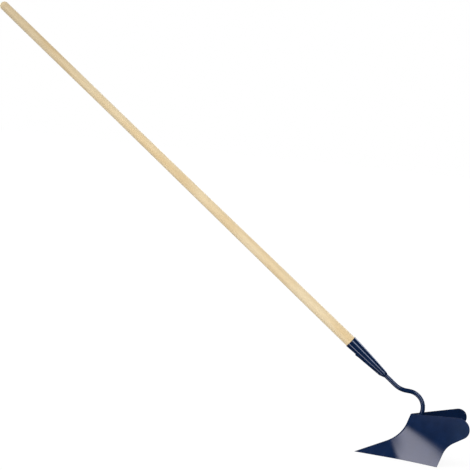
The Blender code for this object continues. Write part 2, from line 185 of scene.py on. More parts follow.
def placePiece(piece, place):
    bpy.ops.object.mode_set(mode="OBJECT")
    piece.matrix_world = place
    bpy.ops.object.transform_apply(location=True, rotation=True, scale=True)


def finishPiece(piece, material, slotName, *nodes):    # shades the piece and lets it stand for its nodes
    bpy.ops.object.mode_set(mode="OBJECT")
    chooseOnly(piece)
    bpy.ops.object.transform_apply(location=True, rotation=True, scale=True)
    bpy.ops.object.shade_smooth_by_angle(angle=math.radians(sharpAngle))
    useModifier(piece, "WEIGHTED_NORMAL", keep_sharp=True)
    piece.data.materials.clear()
    piece.data.materials.append(material)
    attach(piece, "root")
    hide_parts(*nodes)
    print("made", piece.name, len(piece.data.polygons), "faces")


# finishes

def finishPaint():
    # gloss stoving enamel on pressed steel: a deep navy that mirrors the lamps with a clean edge, over a
    # faint orange peel and the slow waves of hand-finished sheet
    look = {"thick": (0.35, "#0b1e3d"), "thin": (0.65, "#0e2244"), "cloudSize": 30, "roughness": 0.1,
            "waveSize": 45, "waveHeight": 0.04, "peelSize": 2.5, "peelHeight": 0.0015}
    material, tree = newMaterial("navyStovingEnamel")
    place = addNode(tree, "ShaderNodeTexCoord")
    cloud = addNode(tree, "ShaderNodeTexNoise", {"Scale": 1 / (look["cloudSize"] * mm), "Detail": 3.0},
                    {"Vector": (place, "Object")})
    tone = addNode(tree, "ShaderNodeValToRGB", None, {"Fac": (cloud, "Fac")})
    for stop, (position, hexColour) in zip(tone.color_ramp.elements, (look["thick"], look["thin"])):
        stop.position = position
        stop.color = toLinear(hexColour)
    wave = addNode(tree, "ShaderNodeTexNoise", {"Scale": 1 / (look["waveSize"] * mm), "Detail": 0.0},
                   {"Vector": (place, "Object")})
    slow = addNode(tree, "ShaderNodeBump", {"Strength": 1.0, "Distance": look["waveHeight"] * mm},
                   {"Height": (wave, "Fac")})
    peel = addNode(tree, "ShaderNodeTexNoise", {"Scale": 1 / (look["peelSize"] * mm), "Detail": 1.0},
                   {"Vector": (place, "Object")})
    fine = addNode(tree, "ShaderNodeBump", {"Strength": 1.0, "Distance": look["peelHeight"] * mm},
                   {"Height": (peel, "Fac"), "Normal": (slow, "Normal")})
    shader = addNode(tree, "ShaderNodeBsdfPrincipled", {"Roughness": look["roughness"], "IOR": 1.5},
                     {"Base Color": (tone, "Color"), "Normal": (fine, "Normal")})
    addNode(tree, "ShaderNodeOutputMaterial", None, {"Surface": (shader, "BSDF")})
    return material


def finishAsh():
    # turned and sanded ash, left raw: pale straw with slow warm patches along the grain, growth rings a few
    # millimetres apart, the open pores of the spring wood as short brown dashes, and painted shade towards
    # the top end
    look = {"light": (0.36, "#eedab2"), "warm": (0.66, "#e4c998"), "spring": "#d2b485", "pore": "#b99a6e",
            "ring": 2.6, "ringSway": 12.0, "pithAway": (38.0, 15.2), "springFrom": 0.5, "springDepth": 0.4,
            "poreFrom": 0.6, "poreTo": 0.8, "fibreFrom": 0.3, "fibreTo": 0.7, "fibreDark": 0.95,
            "fibreLight": 1.04, "grainHeight": 0.012, "grainStrength": 0.5, "roughness": 0.7, "sheen": 0.45,
            "paintedFalloffStart": 800.0, "paintedFalloffEnd": 1390.0, "paintedFalloffShade": 0.76}
    # the width of each pattern across the grain, its length along it, and its detail
    patterns = {"sway": (70.0, 280.0, 1.0), "patches": (30.0, 140.0, 2.0), "pores": (0.5, 9.0, 1.0),
                "fibre": (2.5, 160.0, 2.0)}
    ringAtOne = math.pi / 10    # how far apart the wave texture draws its rings at scale 1
    material, tree = newMaterial("turnedAshWood")
    place = addNode(tree, "ShaderNodeTexCoord")
    axis = addNode(tree, "ShaderNodeMapping", {"Location": mouth, "Rotation": headPlace.to_euler()},
                   {"Vector": (place, "Object")}, vector_type="TEXTURE")    # +Z runs along the pole
    noise = {}
    for name, (across, along, detail) in patterns.items():
        scale = [1 / (size * mm) for size in (across, across, along)]
        grid = addNode(tree, "ShaderNodeMapping", {"Scale": scale}, {"Vector": (axis, "Vector")})
        noise[name] = addNode(tree, "ShaderNodeTexNoise", {"Scale": 1.0, "Detail": detail},
                              {"Vector": (grid, "Vector")})

    # the growth rings, round a pith that lies outside the pole
    reach = look["ringSway"] * mm
    bent = addNode(tree, "ShaderNodeVectorMath", {1: (reach, reach, 0)}, {0: (noise["sway"], "Color")},
                   operation="MULTIPLY")
    pith = [away * mm for away in look["pithAway"]]
    shifted = addNode(tree, "ShaderNodeVectorMath", {1: (*pith, 0)}, {0: (axis, "Vector")}, operation="ADD")
    warped = addNode(tree, "ShaderNodeVectorMath", None, {0: (shifted, "Vector"), 1: (bent, "Vector")},
                     operation="ADD")
    rings = addNode(tree, "ShaderNodeTexWave", {"Scale": ringAtOne / (look["ring"] * mm)},
                    {"Vector": (warped, "Vector")},
                    wave_type="RINGS", rings_direction="Z", wave_profile="SAW")
    springWood = addNode(tree, "ShaderNodeMapRange",
                         {"From Min": look["springFrom"], "From Max": 1.0, "To Max": look["springDepth"]},
                         {"Value": (rings, "Fac")}, interpolation_type="SMOOTHSTEP")

    # patches, rings and pores, one over the other
    tone = addNode(tree, "ShaderNodeValToRGB", None, {"Fac": (noise["patches"], "Fac")})
    for stop, (position, hexColour) in zip(tone.color_ramp.elements, (look["light"], look["warm"])):
        stop.position = position
        stop.color = toLinear(hexColour)
    ringed = addNode(tree, "ShaderNodeMix", {7: toLinear(look["spring"])},
                     {0: (springWood, "Result"), 6: (tone, "Color")}, data_type="RGBA")
    opened = addNode(tree, "ShaderNodeMapRange", {"From Min": look["poreFrom"], "From Max": look["poreTo"]},
                     {"Value": (noise["pores"], "Fac")})
    dashes = addNode(tree, "ShaderNodeMath", None, {0: (opened, "Result"), 1: (springWood, 0)},
                     operation="MULTIPLY", use_clamp=True)
    porous = addNode(tree, "ShaderNodeMix", {7: toLinear(look["pore"])}, {0: (dashes, 0), 6: (ringed, 2)},
                     data_type="RGBA")

    # the fibres' play of light and dark, and painted shade that darkens the pole towards its top end
    lift = addNode(tree, "ShaderNodeMapRange",
                   {"From Min": look["fibreFrom"], "From Max": look["fibreTo"],
                    "To Min": look["fibreDark"], "To Max": look["fibreLight"]},
                   {"Value": (noise["fibre"], "Fac")})
    height = addNode(tree, "ShaderNodeSeparateXYZ", None, {0: (axis, "Vector")})
    # painted shade: the colour darkens towards the pole's top end, standing in for light that falls off
    # there
    paintedFalloff = addNode(tree, "ShaderNodeMapRange",
                      {"From Min": look["paintedFalloffStart"] * mm, "From Max": look["paintedFalloffEnd"] * mm,
                       "To Min": 1.0, "To Max": look["paintedFalloffShade"]}, {"Value": (height, 2)})
    shade = addNode(tree, "ShaderNodeMath", None, {0: (lift, 0), 1: (paintedFalloff, 0)}, operation="MULTIPLY")
    colour = addNode(tree, "ShaderNodeVectorMath", None, {0: (porous, 2), "Scale": (shade, 0)},
                     operation="SCALE")
    depth = addNode(tree, "ShaderNodeMath", None, {0: (noise["fibre"], "Fac"), 1: (dashes, 0)},
                    operation="SUBTRACT")
    grain = addNode(tree, "ShaderNodeBump",
                    {"Strength": look["grainStrength"], "Distance": look["grainHeight"] * mm},
                    {"Height": (depth, 0)})
    shader = addNode(tree, "ShaderNodeBsdfPrincipled",
                     {"Roughness": look["roughness"], "IOR": 1.5, "Sheen Weight": look["sheen"]},
                     {"Base Color": (colour, "Vector"), "Normal": (grain, "Normal")})
    addNode(tree, "ShaderNodeOutputMaterial", None, {"Surface": (shader, "BSDF")})
    return material


def finishZinc():
    # bright zinc plating on a turned steel screw: a cool light grey with a faint mottle and soft reflections
    look = {"bright": "#c3c4c2", "dull": "#a3a5a4", "roughness": 0.32, "mottle": 1.2, "mottleHeight": 0.01,
            "mottleStrength": 0.5}
    material, tree = newMaterial("brightZincPlating")
    place = addNode(tree, "ShaderNodeTexCoord")
    mottle = addNode(tree, "ShaderNodeTexNoise", {"Scale": 1 / (look["mottle"] * mm), "Detail": 2.0},
                     {"Vector": (place, "Object")})
    tone = addNode(tree, "ShaderNodeMix", {6: toLinear(look["dull"]), 7: toLinear(look["bright"])},
                   {0: (mottle, "Fac")}, data_type="RGBA")
    fine = addNode(tree, "ShaderNodeBump",
                   {"Strength": look["mottleStrength"], "Distance": look["mottleHeight"] * mm},
                   {"Height": (mottle, "Fac")})
    shader = addNode(tree, "ShaderNodeBsdfPrincipled", {"Roughness": look["roughness"], "Metallic": 1.0},
                     {"Base Color": (tone, 2), "Normal": (fine, "Normal")})
    addNode(tree, "ShaderNodeOutputMaterial", None, {"Surface": (shader, "BSDF")})
    return material


# the blade: one wing cut flat in the side view, given its thickness, splayed, mirrored, and rounded at the
# fold between the two
blade = {"sheet": 2.5, "noseRise": 25.8, "noseLength": 99.9, "ridgeRadius": 99.6, "breastRise": 72.4,
         "splay": 31.5, "pointFold": 2.8, "breastFold": 7.5, "leastFold": 0.8, "height": 127.1,
         "topRise": 7.4, "sole": 233.2, "trailingRise": 71.3, "notchRise": 35.4, "notchRadius": 71.5,
         "lobeRadius": 28.5, "length": 311.3, "spare": 4.0, "rimRadius": 0.9, "rulings": 30,
         "foldSteps": 10, "notchSteps": 14, "lobeSteps": 40}

splayed = math.radians(blade["splay"])
noseEnd = way(blade["noseRise"]) * blade["noseLength"] * mm
ridgeCentre = noseEnd - way(blade["noseRise"] - 90) * blade["ridgeRadius"] * mm
breastStart = ridgeCentre + way(blade["breastRise"] - 90) * blade["ridgeRadius"] * mm


def meet(pointA, riseA, pointB, riseB):    # where two straight lines of the side view cross
    across = way(riseB + 90)
    run = (pointB - pointA).dot(across) / way(riseA).dot(across)
    return pointA + way(riseA) * run


def ruling(point):    # which ruling of the fold a point lies on, in degrees, and how far from the ridge
    out = point - ridgeCentre
    angle = math.degrees(math.atan2(out.x, -out.z))
    angle = min(max(angle, blade["noseRise"]), blade["breastRise"])
    return angle, out.dot(way(angle - 90)) - blade["ridgeRadius"] * mm


def foldRadius(angle):    # outer radius of the fold, which grows from the point up to the breast
    share = (angle - blade["noseRise"]) / (blade["breastRise"] - blade["noseRise"])
    return (blade["pointFold"] + (blade["breastFold"] - blade["pointFold"]) * share) * mm


def foldCorner(angle):    # distance from the ridge to the corner that the wings' inner faces would make
    radius = foldRadius(angle)
    return radius - (radius - blade["sheet"] * mm) / math.sin(splayed)


def drawWing(ridgeTop):    # one wing, flat, with a little to spare past its sole and its top edge
    heel = way(0) * blade["sole"] * mm
    spare = blade["spare"] * mm
    lobeRadius, notchRadius = blade["lobeRadius"] * mm, blade["notchRadius"] * mm
    edgeHere = meet(ridgeTop, blade["topRise"], way(0) * (blade["length"] * mm - lobeRadius), 90)
    lobe = edgeHere - way(90) * lobeRadius / math.cos(math.radians(blade["topRise"]))
    lobeFoot = lobe + way(blade["notchRise"] - 90) * lobeRadius
    lobeTop = lobe + way(blade["topRise"] + 90) * (lobeRadius + spare)
    corner = meet(heel, blade["trailingRise"], lobeFoot, blade["notchRise"])
    turn = blade["trailingRise"] - blade["notchRise"]
    notchStart = corner - way(blade["trailingRise"]) * notchRadius * math.tan(math.radians(turn / 2))
    notch = notchStart + way(blade["trailingRise"] - 90) * notchRadius
    below = meet(heel, blade["trailingRise"], -way(90) * spare, 0)
    piece = sideLine("blade_painted", below, [
        ("line", notchStart),
        ("arc", notch, -turn, blade["notchSteps"]),
        ("line", lobeFoot),
        ("arc", lobe, 180 + blade["topRise"] - blade["notchRise"], blade["lobeSteps"]),
        ("line", lobeTop),
        ("line", meet(lobeTop, blade["topRise"], breastStart, blade["breastRise"])),
        ("line", breastStart),
        ("arc", ridgeCentre, blade["noseRise"] - blade["breastRise"], blade["rulings"]),
        ("line", meet(noseEnd, blade["noseRise"], -way(90) * spare, 0)),
        ("line", below)])
    bpy.ops.mesh.edge_face_add()
    for i in range(blade["rulings"] + 1):    # a cut along every ruling, so that the sheet can fold there
        angle = blade["noseRise"] + (blade["breastRise"] - blade["noseRise"]) * i / blade["rulings"]
        cutAlong(ridgeCentre, way(angle))
    bpy.ops.mesh.select_all(action="SELECT")
    bpy.ops.mesh.extrude_region_move(TRANSFORM_OT_translate={"value": (0, blade["sheet"] * mm, 0)})
    return piece


def splayWing(piece):
    # swings the flat wing out to its splay, with the ridge drawn forward to a sharp corner that a bevel then
    # rounds. The bevel weight of an edge along the ridge is its share of the largest fold radius
    sheet = blade["sheet"] * mm
    alongRidge = 1.0 * mm    # an edge whose radius changes by more than this runs through the sheet
    lead = 1 / math.sin(splayed) - 1    # the sharp corner stands this many radii ahead of the round ridge
    ridgeRadii = {}
    for vertex in piece.data.vertices:
        inner = vertex.co.y > 0.5 * sheet
        flat = Vector((vertex.co.x, 0, vertex.co.z))
        angle, distance = ruling(flat)
        radius = foldRadius(angle)
        if abs(distance) < sameLine:
            inwards = sheet / math.sin(splayed) if inner else 0
            vertex.co = flat + way(angle - 90) * (inwards - lead * radius)
            ridgeRadii[vertex.index] = max(radius - sheet, blade["leastFold"] * mm) if inner else radius
        else:
            vertex.co = flat
            vertex.co.y = -(distance + lead * radius) * math.tan(splayed)
            vertex.co.y += sheet / math.cos(splayed) if inner else 0
    weights = piece.data.attributes.new("bevel_weight_edge", "FLOAT", "EDGE")
    for edge in piece.data.edges:
        radii = [ridgeRadii[i] for i in edge.vertices if i in ridgeRadii]
        if len(radii) == 2 and abs(radii[0] - radii[1]) < alongRidge:
            weights.data[edge.index].value = 0.5 * sum(radii) / (blade["breastFold"] * mm)


def makeBlade():
    ridgeTop = meet(breastStart, blade["breastRise"], way(90) * blade["height"] * mm, 0)
    piece = drawWing(ridgeTop)

    def onRidge(face):    # the wall along the ridge, where the two wings join
        corners = [piece.data.vertices[i].co * Vector((1, 0, 1)) for i in face.vertices]
        return abs(face.normal.y) < 0.5 and all(abs(ruling(corner)[1]) < sameLine for corner in corners)
    deleteFaces(piece, onRidge)
    splayWing(piece)
    useModifier(piece, "MIRROR", use_axis=(False, True, False), merge_threshold=sameLine)
    tidyMesh(piece)
    useModifier(piece, "BEVEL", width=blade["breastFold"] * mm / math.tan(splayed), offset_type="OFFSET",
                segments=blade["foldSteps"], limit_method="WEIGHT", use_clamp_overlap=False)
    bpy.ops.object.mode_set(mode="EDIT")
    cutAlong((0, 0, 0), (0, 0, 1), use_fill=True, clear_inner=True)    # the level sole
    cutAlong(ridgeTop, way(90 + blade["topRise"]), use_fill=True, clear_outer=True)    # the top edge
    tidyMesh(piece)
    roundRims(piece, blade["rimRadius"] * mm)
    finishPiece(piece, paint, "blue_paint", "blade")


# the neck: one round bar, from its foot in the fold up to the socket, in three bends
neck = {"radius": 6.35, "chamfer": 1.0, "bend": 45.1, "handleBend": 60.6, "footRise": 56.0, "tail": 14.0,
        "foot": 58.8, "stem": 1.0, "crownRise": 4.0, "crown": 9.4, "handleRise": 38.0, "lead": 45.8,
        "insert": 16.0, "sides": 48, "degreesPerStep": 2.0}


def barPath(moves, start, heading):
    # turns ("straight", length) and ("bend", degrees, radius) into a path of lines and arcs and its end
    path = []
    here = Vector(start)
    for kind, amount, *radius in moves:
        if kind == "straight":
            here = here + way(heading) * amount * mm
            path.append(("line", here))
        else:
            centre = here + way(heading + math.copysign(90, amount)) * radius[0] * mm
            path.append(("arc", centre, amount, round(abs(amount) / neck["degreesPerStep"])))
            heading += amount
            here = centre - way(heading + math.copysign(90, amount)) * radius[0] * mm
    return path, here


footDistance = foldCorner(neck["footRise"]) + (neck["radius"] + clearance) * mm / math.sin(splayed)
footContact = ridgeCentre + way(neck["footRise"] - 90) * (blade["ridgeRadius"] * mm + footDistance)
neckStart = footContact - way(neck["footRise"]) * (neck["tail"] + neck["chamfer"]) * mm
neckMoves = [
    ("straight", neck["chamfer"] + neck["tail"] + neck["foot"]),
    ("bend", 90 - neck["footRise"], neck["bend"]),
    ("straight", neck["stem"]),
    ("bend", 90 - neck["crownRise"], neck["bend"]),
    ("straight", neck["crown"]),
    ("bend", neck["crownRise"] - neck["handleRise"], neck["handleBend"]),
    ("straight", neck["lead"])]
socketEnd = barPath(neckMoves, neckStart, neck["footRise"])[1]


def makeNeck():
    path = barPath(neckMoves + [("straight", neck["insert"])], neckStart, neck["footRise"])[0]
    bpy.ops.object.select_all(action="DESELECT")
    bpy.ops.mesh.primitive_circle_add(vertices=neck["sides"], radius=neck["radius"] * mm, fill_type="NGON",
                                      location=neckStart,
                                      rotation=(0, math.radians(90 - neck["footRise"]), 0))
    piece = startPiece("neck_bar")
    followPath(neckStart, path)
    tidyMesh(piece)
    roundRims(piece, neck["chamfer"] * mm)
    finishPiece(piece, paint, "blue_paint", "neck")


# the socket: a blank cut flat with its lap tab, then rolled to a cone. It stands upright while it is made,
# with depth down from its mouth and -X at its underside, and so do the pieces on the handle's axis
socket = {"length": 130.0, "sheet": 1.6, "mouthBore": 16.25, "endBore": 7.7, "bulge": 0.75, "seam": -20.0,
          "seamGap": 2.0, "lapWidth": 9.0, "lapStart": 35.5, "lapEnd": 126.0, "lapCorner": 4.0,
          "lapEndCorner": 9.0, "lapRamp": 8.0, "cornerSpring": 0.9, "cornerReach": 14.0, "tailSpring": 0.5,
          "tailReach": 45.0, "lapSweep": 65.0, "lapLand": 10.0, "blank": 72.0, "columns": 90,
          "rowHeight": 1.2, "cornerSteps": 8, "endCornerSteps": 14, "rimRadius": 0.35, "rimAngle": 50}
mouth = socketEnd - way(-neck["handleRise"]) * socket["length"] * mm
headPlace = Matrix.Translation(mouth) @ Matrix.Rotation(math.radians(neck["handleRise"] - 90), 4, "Y")


def boreRadius(depth):    # a cone that swells a little in the middle
    share = depth / socket["length"]
    swell = socket["bulge"] * math.sin(math.pi * share)
    return socket["mouthBore"] + (socket["endBore"] - socket["mouthBore"]) * share + swell


def lapLift(depth):    # how far the free edge springs clear of the edge below it
    start, end = socket["lapStart"], socket["lapEnd"]
    raised = smooth(depth, start - socket["lapRamp"], start) - smooth(depth, end, socket["length"])
    spring = socket["cornerSpring"] * (1 - smooth(depth, start, start + socket["cornerReach"]))
    spring += socket["tailSpring"] * smooth(depth, end - socket["tailReach"], end)
    return (socket["sheet"] + clearance + spring) * raised


def rolled(flat):    # where a point of the flat blank comes to lie on the cone
    blank, full = socket["blank"], socket["seam"] + 360
    depth = -flat.z / mm
    outer = boreRadius(depth) + socket["sheet"]
    past = flat.x / mm - blank
    angle = full + (math.degrees(past / outer) if past > 0 else 360 * past / blank)
    lift = lapLift(depth) * smooth(angle, full - socket["lapSweep"], full - socket["lapLand"])
    out = (outer + lift) * mm
    return -out * math.cos(math.radians(angle)), -out * math.sin(math.radians(angle)), flat.z


def makeSocket():
    blank, corner, endCorner = (socket[size] * mm for size in ("blank", "lapCorner", "lapEndCorner"))
    start, end, length = (-socket[size] * mm for size in ("lapStart", "lapEnd", "length"))
    edge = blank - socket["seamGap"] * mm
    reach = blank + socket["lapWidth"] * mm
    piece = sideLine("socket_rolled", (0, 0, 0), [
        ("line", (0, 0, length)),
        ("line", (edge, 0, length)),
        ("line", (edge, 0, end)),
        ("line", (reach - endCorner, 0, end)),
        ("arc", (reach - endCorner, 0, end + endCorner), 90, socket["endCornerSteps"]),
        ("line", (reach, 0, start - corner)),
        ("arc", (reach - corner, 0, start - corner), 90, socket["cornerSteps"]),
        ("line", (edge, 0, start)),
        ("line", (edge, 0, 0)),
        ("line", (0, 0, 0))])
    bpy.ops.mesh.edge_face_add()
    for i in range(1, round(reach / blank * socket["columns"])):
        cutAlong(way(0) * blank * i / socket["columns"], way(0))
    for i in range(1, round(socket["length"] / socket["rowHeight"])):
        cutAlong(-way(90) * i * socket["rowHeight"] * mm, way(90))
    bpy.ops.object.mode_set(mode="OBJECT")
    for vertex in piece.data.vertices:
        vertex.co = rolled(vertex.co)
    tidyMesh(piece)
    outermost = max(piece.data.polygons, key=lambda face: face.center.x)
    if outermost.normal.x < 0:
        piece.data.flip_normals()
    useModifier(piece, "SOLIDIFY", thickness=socket["sheet"] * mm, offset=-1)
    drillHole(piece)
    roundRims(piece, socket["rimRadius"] * mm, angle=socket["rimAngle"])
    placePiece(piece, headPlace)
    finishPiece(piece, paint, "blue_paint", "socket")


# the welds, laid by hand and painted over
weld = {"length": 8.0, "toe": 0.4, "bulge": 0.3, "sides": 132, "slopeRows": 14, "sunk": 0.4,
        "ripples": 22, "rippleLean": 6.0, "rippleHeight": 0.18, "rippleMiddle": 0.6, "lapFrom": 120.0,
        "lapFull": 124.5, "lapTo": 133.5, "lapRise": 2.7, "lapMiddle": 5.0, "lapHalf": 25.0,
        "lapFade": 35.0, "span": 10.0, "leg": 6.5, "wrap": 55.0, "root": 26.5, "footBulge": 0.8,
        "endShare": 0.45, "footRipples": 26, "steps": 104, "sectionSteps": 6}


def overLap(depth, angle):    # how far the bead builds up to run over the end of the lap
    away = abs(math.degrees(angle) - weld["lapMiddle"])
    rise = smooth(depth, weld["lapFrom"], weld["lapFull"]) - smooth(depth, weld["lapFull"], weld["lapTo"])
    return weld["lapRise"] * rise * (1 - smooth(away, weld["lapHalf"], weld["lapHalf"] + weld["lapFade"]))


def makeSocketWeld():
    # a fillet round the bar, with a thin sleeve that is hidden in the socket's sheet except on the lap
    top = -(socket["length"] + clearance) * mm
    low = top - weld["length"] * mm
    bore = (neck["radius"] + clearance) * mm
    rim = (socket["endBore"] + socket["sheet"]) * mm
    toe = bore + weld["toe"] * mm
    rows = weld["slopeRows"]

    def inSheet(depth, sunk):
        return Vector(((boreRadius(depth) + socket["sheet"] - sunk) * mm, 0, -depth * mm))
    inside = [inSheet(depth, 2 * weld["sunk"]) for depth in (socket["length"], weld["lapFrom"])]
    sleeveLength = round(socket["length"] - weld["lapFrom"])
    sleeve = [inSheet(weld["lapFrom"] + i, weld["sunk"]) for i in range(sleeveLength)]
    slope = [Vector((rim + (toe - rim) * i / rows + weld["bulge"] * mm * math.sin(math.pi * i / rows), 0,
                     top + (low - top) * i / rows)) for i in range(rows + 1)]
    outline = [(bore, 0, top)] + inside + sleeve + slope + [(bore, 0, low)]
    path = [("line", point) for point in outline]
    piece = turnRound("socket_weld_bead", (bore, 0, low), path, weld["sides"])
    for vertex in piece.data.vertices:
        x, y, z = vertex.co
        radius = math.hypot(x, y)
        share = min(max((radius - bore) / (rim - bore), 0), 1)
        lean = weld["rippleLean"] * (z - low) / (top - low)
        ripple = abs(math.sin(0.5 * (weld["ripples"] * math.atan2(y, x) + lean))) - weld["rippleMiddle"]
        raised = overLap(-z / mm, math.atan2(-y, -x))
        grow = 1 + (weld["rippleHeight"] * ripple + raised) * mm * share / radius
        vertex.co = (x * grow, y * grow, z)
    placePiece(piece, headPlace)
    finishPiece(piece, paint, "blue_paint", "socket_weld")


def footSection(offset):
    # section of the fillet between bar and wing, at degrees from where they touch: each point is its
    # distance from the ridge and its half width
    bore = (neck["radius"] + clearance) * mm
    apex = foldCorner(neck["footRise"] + offset)
    ridge = blade["ridgeRadius"] * mm
    bar = (ridge + footDistance) / math.cos(math.radians(offset)) - ridge
    swell = math.sqrt(max(0, 1 - (offset / weld["span"]) ** 2))
    fullness = weld["endShare"] + (1 - weld["endShare"]) * swell
    first = 90 + blade["splay"] - weld["root"]
    steps = weld["sectionSteps"]
    onBar = []
    for i in range(steps + 1):
        turn = math.radians(first - weld["wrap"] * fullness * i / steps)
        onBar.append((bar + bore * math.cos(turn), bore * math.sin(turn)))
    start = (bar - apex) * math.cos(splayed) + bore * math.sin(math.radians(weld["root"]))
    onWing = []
    for length in (start + weld["leg"] * mm * fullness, start):
        onWing.append((apex + length * math.cos(splayed) + clearance * mm * math.sin(splayed),
                       length * math.sin(splayed) - clearance * mm * math.cos(splayed)))
    low, high = Vector(onBar[-1]), Vector(onWing[0])
    outward = Vector((high.y - low.y, low.x - high.x)).normalized()
    along = (offset + weld["span"]) / (2 * weld["span"]) * weld["footRipples"]
    ripple = weld["rippleHeight"] * (abs(math.sin(math.pi * along)) - weld["rippleMiddle"])
    face = []
    for i in range(1, steps):
        rise = math.sin(math.pi * i / steps)
        face.append(low.lerp(high, i / steps) + outward * (weld["footBulge"] + ripple) * mm * rise)
    return [Vector(point) for point in onBar + face + onWing]


def makeFootWeld(name, side, node):
    # the section is spun along the fold, and each copy is then given its own section's points
    def place(offset, point):
        reach = blade["ridgeRadius"] * mm + point.x
        return ridgeCentre + way(neck["footRise"] + offset - 90) * reach + Vector((0, side * point.y, 0))

    def unplace(co):    # the offset of a placed point, and its distance from the ridge and half width
        out = co - ridgeCentre
        offset = math.degrees(math.atan2(out.x, -out.z)) - neck["footRise"]
        return offset, Vector((math.hypot(out.x, out.z) - blade["ridgeRadius"] * mm, abs(out.y)))
    span = weld["span"]
    section = footSection(-span)
    bpy.ops.object.select_all(action="DESELECT")
    bpy.ops.mesh.primitive_circle_add(vertices=len(section), radius=mm, fill_type="NGON")
    piece = startPiece(name)
    bpy.ops.object.mode_set(mode="OBJECT")
    for vertex, point in zip(piece.data.vertices, section):
        vertex.co = place(-span, point)
    bpy.ops.object.mode_set(mode="EDIT")
    bpy.ops.mesh.select_all(action="SELECT")
    bpy.ops.mesh.spin(steps=weld["steps"], angle=math.radians(2 * span), center=ridgeCentre, axis=(0, 1, 0))
    bpy.ops.object.mode_set(mode="OBJECT")
    for vertex in piece.data.vertices:
        offset, here = unplace(vertex.co)
        offset = min(max(offset, -span), span)
        index = min(range(len(section)), key=lambda i: (section[i] - here).length)
        vertex.co = place(offset, footSection(offset)[index])
    tidyMesh(piece)
    finishPiece(piece, paint, "blue_paint", node)


# the handle: one turned ash pole
handle = {"visible": 1389.8, "seatDepth": 110.0, "footRadius": 16.75, "gripRadius": 13.1, "endRadius": 12.7,
          "endLength": 90.0, "gripLength": 480.0, "rounding": 12.2, "seatChamfer": 1.0, "sides": 64,
          "seatSteps": 8, "endSteps": 12}


def makeHandle():
    top, rounding, chamfer = (handle[size] * mm for size in ("visible", "rounding", "seatChamfer"))
    foot, grip, end = (handle[size] * mm for size in ("footRadius", "gripRadius", "endRadius"))
    gap, steps = clearance * mm, handle["seatSteps"]
    seat = handle["seatDepth"] - handle["seatChamfer"]
    fit = []
    for i in range(steps, -1, -1):    # the seat follows the socket's bore
        fit.append((boreRadius(seat * i / steps) * mm - gap, 0, -seat * i / steps * mm))
    bottom = fit[0][2] - chamfer
    piece = turnRound("handle_pole", (0, 0, bottom), [
        ("line", (fit[0][0] - chamfer, 0, bottom))] + [
        ("line", point) for point in fit[:-1]] + [
        ("line", (fit[-1][0], 0, gap)),
        ("line", (foot - gap, 0, gap)),
        ("line", (foot, 0, 2 * gap)),
        ("line", (grip, 0, top - handle["gripLength"] * mm)),
        ("line", (grip, 0, top - handle["endLength"] * mm)),
        ("line", (end, 0, top - rounding)),
        ("arc", (end - rounding, 0, top - rounding), 90, handle["endSteps"]),
        ("line", (0, 0, top))], handle["sides"])
    drillHole(piece)
    placePiece(piece, headPlace)
    finishPiece(piece, ash, "ash_wood", "handle")


# the fixing screw: a slotted round-headed wood screw through the far side of the socket
screw = {"depth": 22.0, "radius": 2.0, "headRadius": 4.2, "headHeight": 2.6, "length": 20.0, "point": 5.0,
         "tip": 0.5, "slotWidth": 0.9, "slotDepth": 1.2, "rimRadius": 0.12, "sides": 32, "crownSteps": 10}
screwSeat = boreRadius(screw["depth"] - screw["headRadius"]) + socket["sheet"] + clearance
screwPlace = (Matrix.Translation((0, screwSeat * mm, -screw["depth"] * mm))
              @ Matrix.Rotation(math.radians(-90), 4, "X"))


def drillHole(piece):    # a plain hole for the screw, while the piece still stands upright
    bpy.ops.object.select_all(action="DESELECT")
    bpy.ops.mesh.primitive_cylinder_add(vertices=screw["sides"], radius=(screw["radius"] + clearance) * mm,
                                        depth=2 * screw["length"] * mm)
    drill = bpy.context.object
    drill.matrix_world = screwPlace
    cutAway(piece, drill)


def makeScrew():
    tip, length, point = (screw[size] * mm for size in ("tip", "length", "point"))
    head, shank, height = (screw[size] * mm for size in ("headRadius", "radius", "headHeight"))
    piece = turnRound("screw_round_head", (0, 0, -length), [
        ("line", (tip, 0, -length)),
        ("line", (shank, 0, point - length)),
        ("line", (shank, 0, 0)),
        ("line", (head, 0, 0)),
        ("arc", (0, 0, 0), 90, screw["crownSteps"])], screw["sides"])
    for vertex in piece.data.vertices:    # flatten the half ball to the low crown of the head
        vertex.co.z *= height / head if vertex.co.z > 0 else 1
    bpy.ops.object.select_all(action="DESELECT")
    bpy.ops.mesh.primitive_cube_add(size=1, location=(0, 0, height))
    slot = bpy.context.object
    slot.scale = (screw["slotWidth"] * mm, 3 * head, 2 * screw["slotDepth"] * mm)    # runs past both rims
    cutAway(piece, slot)
    roundRims(piece, screw["rimRadius"] * mm, segments=2)
    placePiece(piece, headPlace @ screwPlace)
    finishPiece(piece, zinc, "zinc_steel", "handle_screw")


# camera, worked out for a picture of 470 x 470
camera = {"target": (-0.40203, 0.0, 0.578), "distance": 4.5, "azimuth": 5.555, "elevation": 4.428,
          "roll": 5.81, "focalPixels": 1580.2, "picturePixels": 470, "sensor": 36}


def makeCamera():
    lens = bpy.data.cameras.new("photoCamera")
    lens.sensor_width = camera["sensor"]
    lens.lens = camera["focalPixels"] * camera["sensor"] / camera["picturePixels"]
    eye = bpy.data.objects.new("photoCamera", lens)
    bpy.context.scene.collection.objects.link(eye)
    eye.matrix_world = standAt(camera["target"], camera["azimuth"], camera["elevation"], camera["roll"],
                               (0, 0, camera["distance"]))
    bpy.context.scene.camera = eye
    print("camera stands at", [round(c, 3) for c in eye.matrix_world.translation])


# the stage: a pale floor that the camera sees as white, with a faint share of the lit floor under it, which
# keeps the tool's shadow
stage = {"size": 60, "matt": "#c8c8c8", "glow": 1.08, "shadowShare": 0.15}


